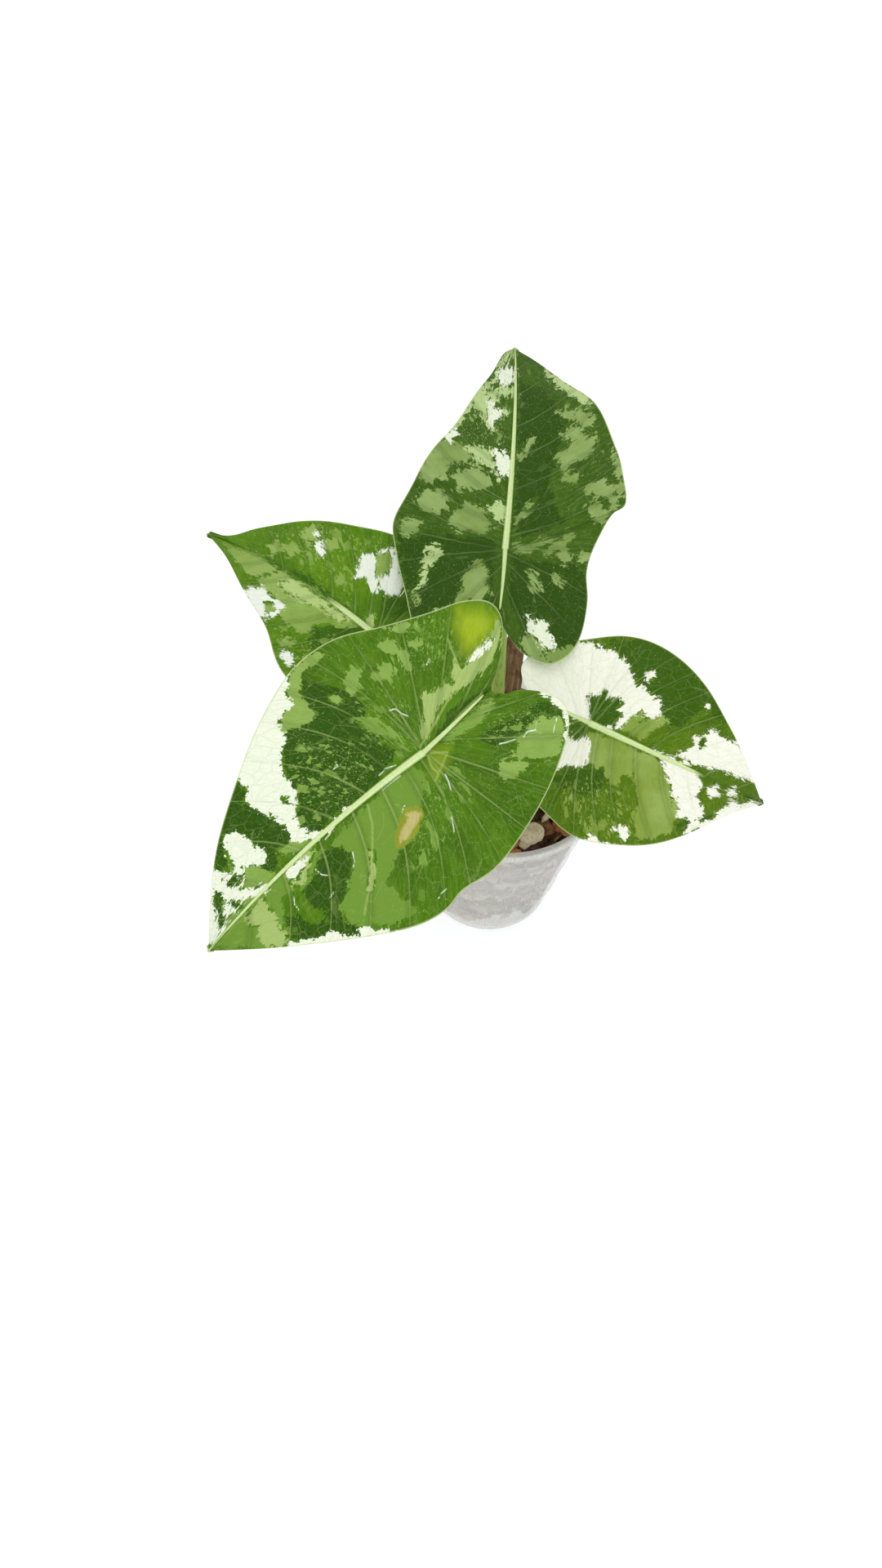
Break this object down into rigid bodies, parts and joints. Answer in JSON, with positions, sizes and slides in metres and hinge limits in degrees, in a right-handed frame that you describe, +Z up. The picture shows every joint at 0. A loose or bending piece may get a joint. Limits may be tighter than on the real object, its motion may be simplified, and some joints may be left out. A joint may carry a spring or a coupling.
{
  "type": "potted variegated frydek alocasia",
  "caption": "Young aroid house plant with arrow-shaped, cream and green variegated leaves on slender stalks, growing in chunky mix in a clear round nursery cup",
  "frame": {"origin": "centre of the flat underside of the cup's base, on the surface that the cup stands on", "axes": "+Z up along the cup's axis; +Y away from the picture's camera, where the back leaf points; +X to the camera's right"},
  "size_m": [0.2163, 0.2639, 0.2528],
  "materials": {
    "clear_plastic": "clear, slightly milky, thin-walled",
    "potting_mix": "loose chunky bark and husk",
    "crown": "fibrous plant stem",
    "leaf_blade": "satin leaf, green with cream and sage sectors",
    "leaf_stalk": "satin, light green",
    "dried_sheath": "dry papery brown",
    "pumice": "matt, pitted",
    "bark": "matt, fibrous"
  },
  "bodies": {
    "root": {"cup": "clear_plastic", "potting_mix": "potting_mix", "crown": "crown", "blade_front": "leaf_blade", "blade_back": "leaf_blade", "blade_left": "leaf_blade", "blade_right": "leaf_blade", "petiole_front": "leaf_stalk", "petiole_back": "leaf_stalk", "petiole_left": "leaf_stalk", "petiole_right": "leaf_stalk", "old_sheath_back": "dried_sheath", "old_sheath_left": "dried_sheath", "old_sheath_front": "dried_sheath", "pumice_1": "pumice", "pumice_2": "pumice", "pumice_3": "pumice", "pumice_4": "pumice", "pumice_5": "pumice", "pumice_6": "pumice", "bark_1": "bark", "bark_2": "bark", "bark_3": "bark", "bark_4": "bark", "bark_5": "bark", "bark_6": "bark"}
  },
  "joints": []
}
